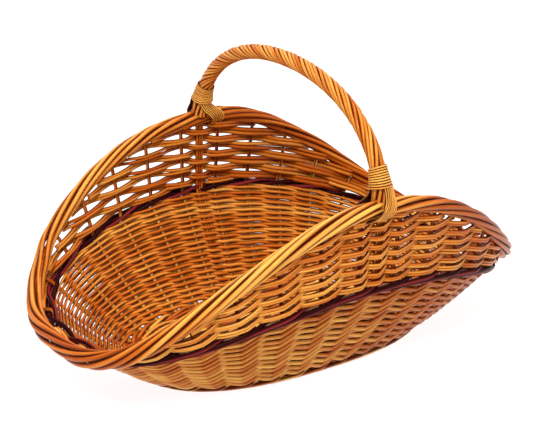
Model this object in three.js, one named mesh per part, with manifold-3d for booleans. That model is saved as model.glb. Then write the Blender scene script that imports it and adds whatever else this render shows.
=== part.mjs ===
// A willow log carrier: a boat-shaped basket on an oval base, low at both ends and high at the sides,
// with a roped bow handle across the middle. Millimetres, +Z up, +X along the length.
// The origin is on the ground, under the middle of the base.
import * as THREE from "three";
import { mergeVertices } from "three/addons/utils/BufferGeometryUtils.js";
import Module from "manifold-3d";

const wasm = await Module();
wasm.setup();

// Driving dimensions of the three ovals that shape the basket
const BASE_HALF_LENGTH = 183;
const BASE_HALF_WIDTH = 97;
const BASE_POWER = 2.45; // 2 is an ellipse, more is squarer
const BASE_THICKNESS = 14;
const RIM_HALF_LENGTH = 296;
const RIM_HALF_WIDTH = 176;
const RIM_POWER = 2.67;
const RIM_END_HEIGHT = 69;
const RIM_SIDE_HEIGHT = 229;
const RIM_SWEEP = 1.15; // how fast the rim drops from the handle to the ends
const WALE_END_INSET = 19; // the border's ends hang this far out over the wale
const WALE_HALF_LENGTH = RIM_HALF_LENGTH - WALE_END_INSET;
const WALE_SIDE_INSET = 3.5; // and its sides lean out this far over it
const WALE_HALF_WIDTH = RIM_HALF_WIDTH - WALE_SIDE_INSET;
const WALE_POWER = 2.55;
const WALE_END_HEIGHT = 67;
const WALE_SIDE_HEIGHT = 133;
const END_FLARE = 0.72; // under 1, the end walls spread first and then rise
const SIDE_FLARE = 0.845;

// Rods and woven walls
const STICK_ENDS = 16; // of the base sticks, numbered round the base from the +X end
const LONG_STICK_ENDS = [15, 0, 1];
const CROSS_STICK_ENDS = [6, 5, 4, 3, 2];
const STAKE_COUNT = 2 * STICK_ENDS; // one on each side of each stick's end
const STAKE_RADIUS = 3;
const STAKE_TUCK = 20; // length of each stake pushed into the base
const WEAVE_THICKNESS = 14; // a stake with a weaver on each side of it
const WEAVE_WAIST = 4.5; // half-way between two stakes, where the weavers cross
const OPENING_ROWS = 4; // of gaps between the rods of an upper wall
const OPENING_LEAST = 4.5; // height under which a gap is woven shut
const OPENING_MARGIN = 3; // weave left beside a stake or a leg of the bow
const WALL_FOOT = 0.035; // share of the lower wall's rise where its weave starts
const WALE_HALF_HEIGHT = 5.5;
const BORDER_RADIUS = 10;
const LONG_STICK_RADIUS = 2.8;
const CROSS_STICK_RADIUS = 5;
const MAT_END_REACH = 3; // the woven base passes the stakes' feet at its ends
const MAT_SIDE_INSET = 5; // and stays inside them at its sides

// Handle
const HANDLE_RISE = 117; // from the rim's middle to the bow's middle at the top
const HANDLE_POWER = 2.11;
const HANDLE_INSET = 3; // the bow leans in from the border's middle
const BOW_RADIUS = 4.8;
const ROPED_RADIUS = 8.8; // over the rods wrapped round the bow
const LEG_DEPTH = 0.55; // share of the lower wall that the bow's ends reach down
const BINDING_TURNS = 9;
const BINDING_RADIUS = 1.15;
const BINDING_PITCH = 3.6;
const BINDING_HEIGHT = 21; // from the rim's middle to the lowest turn
const LASHING_RADIUS = 2;
const LASHING_SPREAD = 6; // how far each lashing leans along the rim at its top

// Gaps between pieces that touch on the real basket
const SEAT_GAP = 0.35;
const STAKE_END_GAP = 2.4; // a stake meets the border at a slant
const WALL_GAP = 1.3; // a woven wall stops this far from the wale and the border
const BORE_GAP = 0.4;
const WINDING_GAP = 0.7;

// Facets
const RING_STEPS = 40;
const LOWER_STEPS = 3;
const STAKE_SIDES = 5;
const STAKE_STEPS = 7;
const BORDER_SIDES = 8;
const BOW_SIDES = 6;
const BOW_STEPS = 40;
const ROPED_SIDES = 10;
const TURN_STEPS = 12;
const BINDING_SIDES = 4;

const { lerp } = THREE.MathUtils;
const TAU = Math.PI * 2;

// Colours and finish of the willow
const buffWillow = willow(0xc77a2b);
const goldenWillow = willow(0xd9962f);
const redWillow = willow(0xb9622a);
const darkWillow = willow(0x3a1414);

function willow(color) {
  return new THREE.MeshStandardMaterial({ color, roughness: 0.45, metalness: 0 });
}

// The ovals: a superellipse, by its own angle from the +X end
function signedPower(value, power) {
  return Math.sign(value) * Math.abs(value) ** power;
}

function oval(halfLength, halfWidth, power, angle, height) {
  const x = halfLength * signedPower(Math.cos(angle), 2 / power);
  const y = halfWidth * signedPower(Math.sin(angle), 2 / power);
  return new THREE.Vector3(x, y, height);
}

function walePoint(angle) {
  const along = signedPower(Math.cos(angle), 2 / WALE_POWER);
  const height = lerp(WALE_SIDE_HEIGHT, WALE_END_HEIGHT, along ** 2);
  return oval(WALE_HALF_LENGTH, WALE_HALF_WIDTH, WALE_POWER, angle, height);
}

function rimPoint(angle) {
  const along = signedPower(Math.cos(angle), 2 / RIM_POWER);
  const share = Math.max(0, 1 - along ** 2) ** RIM_SWEEP;
  const height = lerp(RIM_END_HEIGHT, RIM_SIDE_HEIGHT, share);
  return oval(RIM_HALF_LENGTH, RIM_HALF_WIDTH, RIM_POWER, angle, height);
}

// The middle of the wall: rise 0 at the base, 1 at the dark wale, 2 at the rim
function wallPoint(angle, rise) {
  const wale = walePoint(angle);
  if (rise > 1) return wale.lerp(rimPoint(angle), rise - 1);
  const halfLength = lerp(BASE_HALF_LENGTH, WALE_HALF_LENGTH, rise ** END_FLARE);
  const halfWidth = lerp(BASE_HALF_WIDTH, WALE_HALF_WIDTH, rise ** SIDE_FLARE);
  const height = lerp(BASE_THICKNESS / 2, wale.z, rise);
  return oval(halfLength, halfWidth, lerp(BASE_POWER, WALE_POWER, rise), angle, height);
}

function wallFrame(angle, rise) {
  const step = 1e-3;
  const low = Math.max(0, rise - step);
  const up = wallPoint(angle, rise + step).sub(wallPoint(angle, low)).normalize();
  const round = wallPoint(angle + step, rise).sub(wallPoint(angle - step, rise));
  const out = round.cross(up).normalize();
  return { up, out };
}

function upperLength(angle) {
  return walePoint(angle).distanceTo(rimPoint(angle));
}

// The share of the wall's rise that a short distance takes just under the wale
function riseOf(distance, angle) {
  const step = 0.02;
  return (distance * step) / wallPoint(angle, 1).distanceTo(wallPoint(angle, 1 - step));
}

// Angles that stand evenly spaced along the wale, by their share of its length
const { evenAngle, waleLength } = (() => {
  const samples = 4000;
  const lengths = [0];
  let last = walePoint(0);
  for (let i = 1; i <= samples; i++) {
    const next = walePoint((TAU * i) / samples);
    lengths.push(lengths[i - 1] + next.distanceTo(last));
    last = next;
  }
  const angleAt = (share) => {
    const wanted = share * lengths[samples];
    const i = Math.max(1, lengths.findIndex((length) => length >= wanted));
    const part = (wanted - lengths[i - 1]) / (lengths[i] - lengths[i - 1]);
    return (TAU * (i - 1 + part)) / samples;
  };
  return { evenAngle: angleAt, waleLength: lengths[samples] };
})();

// Solids
function toSolid(geometry) {
  const bare = new THREE.BufferGeometry();
  bare.setAttribute("position", geometry.getAttribute("position").clone());
  bare.setIndex(geometry.getIndex());
  const merged = mergeVertices(bare, 1e-3);
  const vertProperties = merged.getAttribute("position").array;
  const triVerts = new Uint32Array(merged.getIndex().array);
  return new wasm.Manifold(new wasm.Mesh({ numProp: 3, vertProperties, triVerts }));
}

function toGeometry(solid) {
  const { vertProperties, triVerts } = solid.getMesh();
  const geometry = new THREE.BufferGeometry();
  geometry.setAttribute("position", new THREE.BufferAttribute(vertProperties, 3));
  geometry.setIndex(new THREE.BufferAttribute(triVerts, 1));
  geometry.computeVertexNormals();
  return geometry;
}

function cutBy(geometry, tools) {
  let solid = toSolid(geometry);
  for (const tool of tools) solid = solid.subtract(tool);
  return toGeometry(solid);
}

function polygon(radius, sides) {
  const shape = new THREE.Shape();
  for (let i = 0; i < sides; i++) {
    const angle = (TAU * (i + 0.5)) / sides;
    const point = [radius * Math.cos(angle), radius * Math.sin(angle)];
    if (i) shape.lineTo(...point);
    else shape.moveTo(...point);
  }
  shape.closePath();
  return shape;
}

function rod(path, radius, sides, steps) {
  const settings = { steps, extrudePath: path, bevelEnabled: false };
  return new THREE.ExtrudeGeometry(polygon(radius, sides), settings);
}

function toBody(sections, index) {
  const geometry = new THREE.BufferGeometry().setFromPoints(sections.flat());
  geometry.setIndex(index);
  geometry.computeVertexNormals();
  return geometry;
}

// A ring through like sections
function loop(sections) {
  const count = sections[0].length;
  const index = [];
  sections.forEach((_, s) => {
    const here = s * count;
    const next = ((s + 1) % sections.length) * count;
    for (let i = 0; i < count; i++) {
      const j = (i + 1) % count;
      index.push(here + i, next + i, next + j, here + i, next + j, here + j);
    }
  });
  return toBody(sections, index);
}

// A strip of wall through like sections, with square openings.
// A section lists its outer edge upwards and then its inner edge downwards.
function grille(sections, isOpen) {
  const count = sections[0].length;
  const columns = sections.length - 1;
  const rows = count / 2 - 1;
  const outer = (s, k) => s * count + k;
  const inner = (s, k) => (s + 1) * count - 1 - k;
  const solid = (s, k) => s >= 0 && k >= 0 && s < columns && k < rows && !isOpen(s, k);
  const index = [];
  const quad = (a, b, c, d) => index.push(a, b, c, a, c, d);
  for (let s = 0; s < columns; s++) {
    for (let k = 0; k < rows; k++) {
      if (!solid(s, k)) continue;
      const [t, m] = [s + 1, k + 1];
      quad(outer(s, k), outer(t, k), outer(t, m), outer(s, m));
      quad(inner(s, m), inner(t, m), inner(t, k), inner(s, k));
      if (!solid(s, k - 1)) quad(outer(s, k), inner(s, k), inner(t, k), outer(t, k));
      if (!solid(s, m)) quad(outer(t, m), inner(t, m), inner(s, m), outer(s, m));
      if (!solid(s - 1, k)) quad(outer(s, m), inner(s, m), inner(s, k), outer(s, k));
      if (!solid(t, k)) quad(outer(t, k), inner(t, k), inner(t, m), outer(t, m));
    }
  }
  return toBody(sections, index);
}

// A section of a woven wall between two rises; its level next to the wale is square to the wale
function wallSection(angle, from, to, steps, waleLevel, thicknessAt) {
  const outer = [];
  const inner = [];
  for (let i = 0; i <= steps; i++) {
    const rise = lerp(from, to, i / steps);
    const { out } = wallFrame(angle, i === waleLevel ? 1 : rise);
    const middle = wallPoint(angle, rise);
    const half = thicknessAt(i) / 2;
    outer.push(middle.clone().addScaledVector(out, half));
    inner.unshift(middle.clone().addScaledVector(out, -half));
  }
  return [...outer, ...inner];
}

// A section of the wale or the border, given half its size across the wall and along it
function ringSection(angle, rise, halfAcross, halfAlong, sides) {
  const corner = 1 / Math.cos(Math.PI / sides);
  const middle = wallPoint(angle, rise);
  const { up, out } = wallFrame(angle, Math.min(rise, 2 - 1e-3));
  const points = [];
  for (let i = 0; i < sides; i++) {
    const turn = (TAU * (i + 0.5)) / sides;
    const point = middle.clone().addScaledVector(out, corner * halfAcross * Math.cos(turn));
    points.push(point.addScaledVector(up, corner * halfAlong * Math.sin(turn)));
  }
  return points;
}

function ringAngles() {
  return Array.from({ length: RING_STEPS }, (_, i) => evenAngle(i / RING_STEPS));
}

// A named piece
const carrier = new THREE.Group();

function add(group, name, geometry, material) {
  const mesh = new THREE.Mesh(geometry, material);
  mesh.name = name;
  group.add(mesh);
  return mesh;
}

function addGroup() {
  const group = new THREE.Group();
  carrier.add(group);
  return group;
}

const borderSeat = BORDER_RADIUS + WALL_GAP;
const waleSeat = WALE_HALF_HEIGHT + WALL_GAP;

// Stakes: tucked into the base, turned up, and run in the middle of the wall to the border
function stakeCurve(number) {
  const angle = evenAngle((number + 0.5) / STAKE_COUNT);
  const foot = wallPoint(angle, 0);
  const tucked = foot.clone();
  if (besideLongStick(number)) tucked.x -= Math.sign(foot.x) * STAKE_TUCK;
  else tucked.y -= Math.sign(foot.y) * STAKE_TUCK;
  const points = [tucked, foot];
  for (const rise of [0.14, 0.36, 0.68, 1]) points.push(wallPoint(angle, rise));
  points.push(wallPoint(angle, 2 - (BORDER_RADIUS + STAKE_END_GAP) / upperLength(angle)));
  return new THREE.CatmullRomCurve3(points, false, "centripetal");
}

// Two stakes stand beside each end of each stick, and lie along it in the base
function besideLongStick(number) {
  const end = Math.round((number + 0.5) / 2) % STICK_ENDS;
  return LONG_STICK_ENDS.some((far) => end === far || end === (STICK_ENDS * 1.5 - far) % STICK_ENDS);
}

const stakeCurves = Array.from({ length: STAKE_COUNT }, (_, i) => stakeCurve(i));

// A path that runs straight on from its end, by one of the steps that it is divided into
class RunOn extends THREE.Curve {
  constructor(path, steps) {
    super();
    Object.assign(this, { path, steps });
  }
  getPoint(t) {
    const along = (t * (this.steps + 1)) / this.steps;
    if (along <= 1) return this.path.getPointAt(along);
    const ahead = this.path.getTangentAt(1).multiplyScalar((along - 1) * this.path.getLength());
    return this.path.getPointAt(1).add(ahead);
  }
}

// A stake's bore runs on past the border, so that it is open at the upper edge of the wall
const stakeBores = stakeCurves.map((curve) => {
  const longer = new RunOn(curve, STAKE_STEPS);
  return toSolid(rod(longer, STAKE_RADIUS + BORE_GAP, STAKE_SIDES, STAKE_STEPS + 1));
});
const stakes = addGroup();
stakeCurves.forEach((curve, i) => {
  const name = "stake_" + String(i + 1).padStart(2, "0");
  add(stakes, name, rod(curve, STAKE_RADIUS, STAKE_SIDES, STAKE_STEPS), redWillow);
});

// Handle bow: one bent rod, its two legs pushed down through the border into the wall
const backAngle = TAU / 4;

function handlePoint(turn) {
  const halfWidth = RIM_HALF_WIDTH - HANDLE_INSET;
  const y = halfWidth * signedPower(Math.cos(turn), 2 / HANDLE_POWER);
  const z = RIM_SIDE_HEIGHT + HANDLE_RISE * signedPower(Math.sin(turn), 2 / HANDLE_POWER);
  return new THREE.Vector3(0, y, z);
}

function bowCurve() {
  const leg = [];
  for (let i = 0; i < 5; i++) leg.push(wallPoint(backAngle, lerp(1 - LEG_DEPTH, 1.8, i / 4)));
  const arch = [];
  const spans = 14;
  for (let i = 0; i <= spans; i++) arch.push(handlePoint((Math.PI * i) / spans));
  const otherLeg = leg.map((point) => point.clone().setY(-point.y)).reverse();
  const points = [...leg, ...arch, ...otherLeg];
  points.forEach((point) => point.setX(0));
  const curve = new THREE.CatmullRomCurve3(points, false, "centripetal");
  curve.arcLengthDivisions = 1000;
  return curve;
}

// A stretch of a longer path, by its shares of that path's length
class Stretch extends THREE.Curve {
  constructor(path, from, to) {
    super();
    Object.assign(this, { path, from, to });
  }
  getPoint(t) {
    return this.path.getPointAt(lerp(this.from, this.to, t));
  }
}

const bow = bowCurve();
const bowLength = bow.getLength();

// The share of the bow's length at which it stands a given height over the rim, on the back leg
function shareAbove(height) {
  const samples = 2000;
  for (let i = 1; i < samples; i++) {
    if (bow.getPointAt(i / samples).z >= RIM_SIDE_HEIGHT + height) return i / samples;
  }
  throw new Error("the bow never rises " + height + " mm over the rim");
}

// The roping starts on a facet of the bow, so that both turn the same corners
const ropingFirst = Math.ceil(shareAbove(BORDER_RADIUS + SEAT_GAP) * BOW_STEPS);
const ropingFrom = ropingFirst / BOW_STEPS;
const ropingSteps = BOW_STEPS - 2 * ropingFirst;
const ropedPath = new Stretch(bow, ropingFrom, 1 - ropingFrom);
const bowBore = toSolid(rod(bow, BOW_RADIUS + BORE_GAP, BOW_SIDES, BOW_STEPS));
const handle = addGroup();
add(handle, "handle_bow", rod(bow, BOW_RADIUS, BOW_SIDES, BOW_STEPS), buffWillow);
const roping = rod(ropedPath, ROPED_RADIUS, ROPED_SIDES, ropingSteps);
add(handle, "handle_roping", cutBy(roping, [bowBore]), goldenWillow);

// Bindings: split willow wound round each foot of the handle
class Winding extends THREE.Curve {
  constructor(side) {
    super();
    this.side = side;
    this.arcLengthDivisions = BINDING_TURNS * TURN_STEPS * 4;
  }
  // A point on the helix; beyond either end it runs straight on for one diameter
  getPoint(t) {
    const radius = ROPED_RADIUS + WINDING_GAP + BINDING_RADIUS;
    const straight = 2 * BINDING_RADIUS;
    const length = BINDING_TURNS * TAU * radius;
    const along = lerp(-straight, length + straight, t);
    const wound = THREE.MathUtils.clamp(along, 0, length);
    const point = this.helix(wound / length, radius);
    if (wound === along) return point;
    const step = 1e-3;
    const inner = this.helix(wound / length + (along < 0 ? step : -step), radius);
    const ahead = point.clone().sub(inner).normalize();
    return point.addScaledVector(ahead, Math.abs(along - wound));
  }
  helix(t, radius) {
    const climb = BINDING_TURNS * BINDING_PITCH * t;
    const share = windingFrom + climb / bowLength;
    const middle = bow.getPointAt(share);
    const along = bow.getTangentAt(share);
    const across = new THREE.Vector3(1, 0, 0);
    const beside = along.clone().cross(across);
    const turn = TAU * BINDING_TURNS * t;
    middle.addScaledVector(across, radius * Math.cos(turn));
    middle.addScaledVector(beside, radius * Math.sin(turn));
    return this.side > 0 ? middle : new THREE.Vector3(-middle.x, -middle.y, middle.z);
  }
}
const windingFrom = shareAbove(BINDING_HEIGHT);

// The least distance between the surfaces of neighbouring turns
function leastGap(curve) {
  const points = curve.getSpacedPoints(BINDING_TURNS * TURN_STEPS);
  let least = Infinity;
  points.forEach((a, i) => {
    for (const b of points.slice(i + TURN_STEPS / 2)) least = Math.min(least, a.distanceTo(b));
  });
  return least - 2 * BINDING_RADIUS;
}

// Lashings: from the binding down over the border, under it beside the bow's leg and up again inside
function lashingCurve(side) {
  const reach = BORDER_RADIUS / Math.cos(Math.PI / BORDER_SIDES) + WINDING_GAP + LASHING_RADIUS;
  const beside = BOW_RADIUS + LASHING_RADIUS + 3 * BORE_GAP;
  const top = BINDING_HEIGHT - BINDING_RADIUS - LASHING_RADIUS - WINDING_GAP;
  const rope = ROPED_RADIUS + WINDING_GAP + LASHING_RADIUS;
  const lean = bow.getPointAt(shareAbove(top)).y - RIM_HALF_WIDTH;
  const points = [];
  const spans = 8;
  points.push(new THREE.Vector3(-side * LASHING_SPREAD, side * (lean + rope), top));
  for (let i = 0; i <= spans; i++) {
    const turn = (Math.PI * i) / spans;
    const across = side * reach * Math.cos(turn);
    points.push(new THREE.Vector3(side * beside * Math.sin(turn), across, -reach * Math.sin(turn)));
  }
  points.push(new THREE.Vector3(-side * LASHING_SPREAD, side * (lean - rope), top));
  const middle = rimPoint(side * backAngle);
  return new THREE.CatmullRomCurve3(points.map((p) => p.add(middle)), false, "centripetal");
}

const lashingBores = [];
for (const [place, side] of [["back", 1], ["front", -1]]) {
  const winding = new Winding(side);
  const gap = leastGap(winding);
  console.log("handle_binding_" + place + " least gap between turns " + gap.toFixed(2) + " mm");
  const turns = rod(winding, BINDING_RADIUS, BINDING_SIDES, BINDING_TURNS * TURN_STEPS);
  add(handle, "handle_binding_" + place, turns, goldenWillow);
  const lashing = lashingCurve(side);
  const lashingSides = 6;
  const lashingSteps = 16;
  const strand = rod(lashing, LASHING_RADIUS, lashingSides, lashingSteps);
  add(handle, "handle_lashing_" + place, strand, goldenWillow);
  lashingBores.push(toSolid(rod(lashing, LASHING_RADIUS + BORE_GAP, lashingSides, lashingSteps)));
}

// Base: cross sticks pierced by long sticks, held in a woven oval mat
const base = addGroup();
const stickHeight = BASE_THICKNESS / 2;

function matEdge(angle, height) {
  const halfLength = BASE_HALF_LENGTH + MAT_END_REACH;
  return oval(halfLength, BASE_HALF_WIDTH - MAT_SIDE_INSET, BASE_POWER, angle, height);
}

// The edge of the woven base at one of the sixteen ends of the sticks
function stickEnd(number) {
  const angle = evenAngle(number / STICK_ENDS);
  return matEdge(angle, stickHeight);
}

function stick(radius, from, to) {
  return rod(new THREE.LineCurve3(from, to), radius, 6, 1);
}

const longBores = [];
LONG_STICK_ENDS.forEach((number, i) => {
  const far = stickEnd(number);
  const near = far.clone().setX(-far.x);
  add(base, "base_long_stick_" + (i + 1), stick(LONG_STICK_RADIUS, near, far), buffWillow);
  longBores.push(toSolid(stick(LONG_STICK_RADIUS + BORE_GAP, near, far)));
});

const crossBores = [];
CROSS_STICK_ENDS.forEach((number, i) => {
  const back = stickEnd(number);
  const front = back.clone().setY(-back.y);
  const pierced = cutBy(stick(CROSS_STICK_RADIUS, front, back), longBores);
  add(base, "base_cross_stick_" + (i + 1), pierced, buffWillow);
  crossBores.push(toSolid(stick(CROSS_STICK_RADIUS + BORE_GAP, front, back)));
});

function baseMat() {
  const shape = new THREE.Shape(
    ringAngles().map((angle) => {
      const { x, y } = matEdge(angle, 0);
      return new THREE.Vector2(x, y);
    }),
  );
  return new THREE.ExtrudeGeometry(shape, { depth: BASE_THICKNESS, bevelEnabled: false });
}
add(base, "base_weave", cutBy(baseMat(), [...longBores, ...crossBores, ...stakeBores]), buffWillow);

// Lower wall, dark wale, upper walls and border, each woven round the stakes and the bow's legs
const walls = addGroup();
const wovenRound = [...stakeBores, bowBore];

// The lower wall is thick at its foot and where it is woven round a stake or a leg of the bow,
// and thin half-way between two stakes
const lowerSections = Array.from({ length: 2 * STAKE_COUNT }, (_, i) => {
  const angle = evenAngle(i / (2 * STAKE_COUNT));
  const atStake = i % 2 === 1;
  const atLeg = i % STAKE_COUNT === STAKE_COUNT / 2;
  const thicknessAt = (level) => (atStake || atLeg || level === 0 ? WEAVE_THICKNESS : WEAVE_WAIST);
  return wallSection(angle, WALL_FOOT, 1 - riseOf(waleSeat, angle), LOWER_STEPS, LOWER_STEPS, thicknessAt);
});
add(walls, "lower_weave", cutBy(loop(lowerSections), wovenRound), buffWillow);

const waleSections = ringAngles().map((angle) =>
  ringSection(angle, 1, WEAVE_THICKNESS / 2, WALE_HALF_HEIGHT, 4),
);
add(walls, "dark_wale", cutBy(loop(waleSections), wovenRound), darkWillow);

// An upper wall starts and ends where the space under the border is high enough to weave
function upperReach() {
  const least = waleSeat + borderSeat + WALE_HALF_HEIGHT;
  const samples = 400;
  for (let i = 1; i < samples; i++) {
    const share = (0.25 * i) / samples;
    if (upperLength(evenAngle(share)) >= least) return share;
  }
  throw new Error("the rim stands too near the wale for an upper wall");
}

// The edges of an upper wall's columns, by share of the wale, each upright's two and then the next one's
function columnEdges(from, to) {
  const uprights = stakeCurves.map((_, i) => ({ share: (i + 0.5) / STAKE_COUNT, radius: STAKE_RADIUS }));
  uprights.push({ share: (from + to) / 2, radius: BOW_RADIUS });
  uprights.sort((a, b) => a.share - b.share);
  const edges = [];
  for (const { share, radius } of uprights) {
    const half = (radius + BORE_GAP + OPENING_MARGIN) / waleLength;
    if (share + half <= from || share - half >= to) continue;
    edges.push(Math.max(from, share - half), Math.min(to, share + half));
  }
  return edges;
}

// An upper wall is open between its uprights and between its rows of rods
function upperWeave(from) {
  const reach = upperReach();
  const [start, end] = [from + reach, from + 0.5 - reach];
  const edges = columnEdges(start, end);
  const firstOpen = edges[0] > start ? 0 : 1;
  const shares = [start, ...edges, end].filter((share, i, all) => i === 0 || share > all[i - 1]);
  const steps = 2 * OPENING_ROWS + 1;
  const sections = shares.map((share) => {
    const angle = evenAngle(share);
    const length = upperLength(angle);
    const [bottom, top] = [1 + waleSeat / length, 2 - borderSeat / length];
    return wallSection(angle, bottom, top, steps, 0, () => WEAVE_THICKNESS);
  });
  const height = (s, k) => sections[s][k].distanceTo(sections[s][k + 1]);
  const tall = (s, k) => Math.min(height(s, k), height(s + 1, k)) >= OPENING_LEAST;
  const isOpen = (s, k) => s % 2 === firstOpen && s > 0 && s < shares.length - 2 && k % 2 === 1 && tall(s, k);
  return cutBy(grille(sections, isOpen), [...wovenRound, ...lashingBores]);
}
add(walls, "upper_weave_back", upperWeave(0), buffWillow);
add(walls, "upper_weave_front", upperWeave(0.5), buffWillow);

const borderSections = ringAngles().map((angle) =>
  ringSection(angle, 2, BORDER_RADIUS, BORDER_RADIUS, BORDER_SIDES),
);
add(walls, "border", cutBy(loop(borderSections), [bowBore]), goldenWillow);

export default carrier;
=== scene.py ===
"""A willow log carrier, built rod by rod over its CAD frame. Metres, +Z up, +X along the length."""

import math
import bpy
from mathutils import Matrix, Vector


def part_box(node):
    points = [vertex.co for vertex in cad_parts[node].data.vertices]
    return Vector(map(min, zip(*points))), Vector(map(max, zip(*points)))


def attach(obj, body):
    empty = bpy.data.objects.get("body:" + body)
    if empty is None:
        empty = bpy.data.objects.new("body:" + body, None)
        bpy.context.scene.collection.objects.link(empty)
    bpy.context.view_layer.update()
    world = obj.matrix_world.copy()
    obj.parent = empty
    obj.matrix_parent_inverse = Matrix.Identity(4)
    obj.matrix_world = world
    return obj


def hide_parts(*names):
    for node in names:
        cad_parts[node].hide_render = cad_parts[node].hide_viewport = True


bl_info = {
    "name": "Willow log carrier",
    "version": (1, 0, 0),
    "blender": (4, 5, 0),
    "location": "View3D > Sidebar > Log carrier",
    "description": "Builds a boat-shaped willow log basket with a roped bow handle",
    "category": "Add Mesh",
}

from typing import NamedTuple

import bpy
import numpy as np
from bpy.props import FloatProperty, FloatVectorProperty, IntProperty, PointerProperty
from mathutils import Matrix, Vector

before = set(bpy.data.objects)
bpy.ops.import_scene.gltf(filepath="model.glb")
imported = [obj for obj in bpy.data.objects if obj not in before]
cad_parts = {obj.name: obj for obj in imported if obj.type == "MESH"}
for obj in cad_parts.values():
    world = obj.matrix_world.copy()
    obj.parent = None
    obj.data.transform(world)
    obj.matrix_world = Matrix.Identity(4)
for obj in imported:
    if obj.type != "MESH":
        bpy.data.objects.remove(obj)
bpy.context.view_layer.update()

MM = 0.001
TAU = 2 * math.pi
PHOTO_WIDTH = 540
PHOTO_HEIGHT = 442
STAKE_NODES = [f"stake_{number:02d}" for number in range(1, 33)]
STICK_NODES = [f"base_long_stick_{n}" for n in (1, 2, 3)] + [f"base_cross_stick_{n}" for n in range(1, 6)]

# Places round the basket are shares of the wale's length: 0 is the far end (+X), 0.25 the back,
# 0.5 the near end and 0.75 the front. The bow's legs stand at the back and the front.
LEG_SHARES = (0.25, 0.75)
PER_GAP = 8  # points of a rod from one upright to the next
UNDER_BORDER = 8 * MM  # from the middle of the border to the tops of the stakes and the upper weave

STAKE_TUCK = 20 * MM
STAKE_TAPER = (1.07, 0.74)
# Tones of the stakes: painted light where the inside of the back shows them, painted shade on the rest
STAKE_LIT_TONE = 0.6
STAKE_LOWER_SHADE = 0.15
STAKE_UPPER_SHADE = 0.1

WALE_RODS = 4
# Sines that let a wale rod climb slowly and drop fast, each with its waves in a round and its weight
WALE_WAVES = ((1, 0.9), (2, 0.65), (3, 0.3))

LOWER_TOP = 0.972  # rise at which the lower weave stops under the dark wale
LOWER_WANDER = 0.14  # how far a rod strays from its row, in half rows
LOWER_WANDER_RATE = 0.9
LOWER_LEAST_RADIUS = 1.2 * MM
LOWER_MOST_OUTSIDE = 3.2 * MM
LOWER_MOST_INSIDE = 5.2 * MM
# The back's rods crowd at the near end, thin and swinging wide, and are thicker at the far end.
# Each place is given with its width.
CROWDED_PLACE = (0.47, 0.07)
CROWDED_THICKNESS = 0.27
CROWDED_SWING = 0.4
FAR_END_PLACE = (0, 0.12)
FAR_END_THICKENING = 0.045
# Shade on the lower weave at the near end, and on the front's way to the far end
NEAR_END_SHADE = 0.2
FAR_FRONT_SHADE = 0.5
FAR_FRONT = (0.72, 0.97)
CLIMB_START = 0.45  # share of a gap after which a front rod climbs

WALE_TO_UPPER = 6 * MM  # from the middle of the dark wale to the first rods of the upper weave
PINCH_RUN = 2  # uprights over which the pairs of rods close up, and over which their rods thicken
PINCH_SWELL = 0.5
UPPER_SWAY = 0.35 * MM
UPPER_SWAY_RATE = 1.3
# Tones of the upper weave by uprights from the bow's leg; at the front the paler tones towards the near end
# are painted highlight
UPPER_BACK_TONES = ((-9, -6, -1, 3, 9), (0.65, 0.28, 0.24, 0.4, 0.45))
UPPER_FRONT_TONES = ((-9, -3, 2, 9), (0.62, 0.5, 0.36, 0.26))

BORDER_CORE_RADIUS = 3.6 * MM
BORDER_OVERLAP = 0.015  # share by which a rod runs past its own length at each end
BORDER_FRAME_RISE = 1.95  # just under the rim, where the border takes its directions from the wall
BORDER_NEAR_END = (0.5, 0.1)  # place and width
NEAR_END_WIDENING = 0.15
# Thickness and spread along a border rod, from its butt to its tip
BORDER_TAPER = ((0, 0.06, 0.75, 1), (0.95, 1.05, 1.0, 0.7))
BORDER_ENDS = ((0, 0.05, 0.95, 1), (0.6, 1, 1.05, 1))
# Tone of the border by place: red as painted shade at the far end, red at the tip of the near end, golden at
# the sides
BORDER_TONES = (
    (0, 0.1, 0.23, 0.3, 0.38, 0.45, 0.52, 0.58, 0.66, 0.74, 0.82, 1),
    (0, 0.2, 0.3, 0.55, 0.65, 0.5, 0.15, 0.4, 0.85, 0.7, 0.18, 0),
)
# Unevenness of the hand-laid border by place, in millimetres up and out
BORDER_LIFT = (
    (0, 0.06, 0.12, 0.16, 0.2, 0.235, 0.265, 0.3, 0.33, 1),
    (0, 0, -2.5, -2.5, -1, -1, -4.5, -1.5, 0, 0),
)
BORDER_PUSH = (
    (0, 0.32, 0.36, 0.395, 0.42, 0.445, 0.475, 0.505, 0.54, 0.57, 0.6, 1),
    (0, 0, 2.5, 4.5, -1, -5, -3.5, 3.5, -2.5, 1, 0, 0),
)

BOW_LEG_RISES = (0.5, 1.97)
BOW_LEG_ROD_RADIUS = 1.9 * MM
BOW_LEG_ROD_SPACING = 3.7 * MM
# Length of one turn of the roping, in metres, by share of the arch from the back foot to the front foot
ROPING_PITCH = ((0, 0.06, 0.13, 0.55, 0.85, 0.95, 1), (0.4, 0.2, 0.085, 0.085, 0.15, 0.26, 0.4))
ROPING_SEAT = 0.98  # of a strand's radius, so that the strands bed into the bow
FOOT_FLARE_HEIGHT = 45 * MM

BINDING_RADIUS = 1.18 * MM
BINDING_FLAT = 0.9
BINDING_SEAT = 0.9 * MM
BINDING_FOOT_SPREAD = 3 * MM
LASHING_RADIUS = 1.12 * MM
LASHING_FLAT = 0.95
SKEIN_TONE = 0.2
LASHING_TURN_HEIGHT = 15 * MM  # over which the band turns from the border's round to the handle's
LASHING_WRAP_RADIUS = 22 * MM
LASHING_LOW_SPREAD = 0.15  # the band is this much wider round the border than on the handle
HANDLE_OUT = (0, 5 * MM, 0)  # from the handle's middle to the middle of the border
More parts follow.
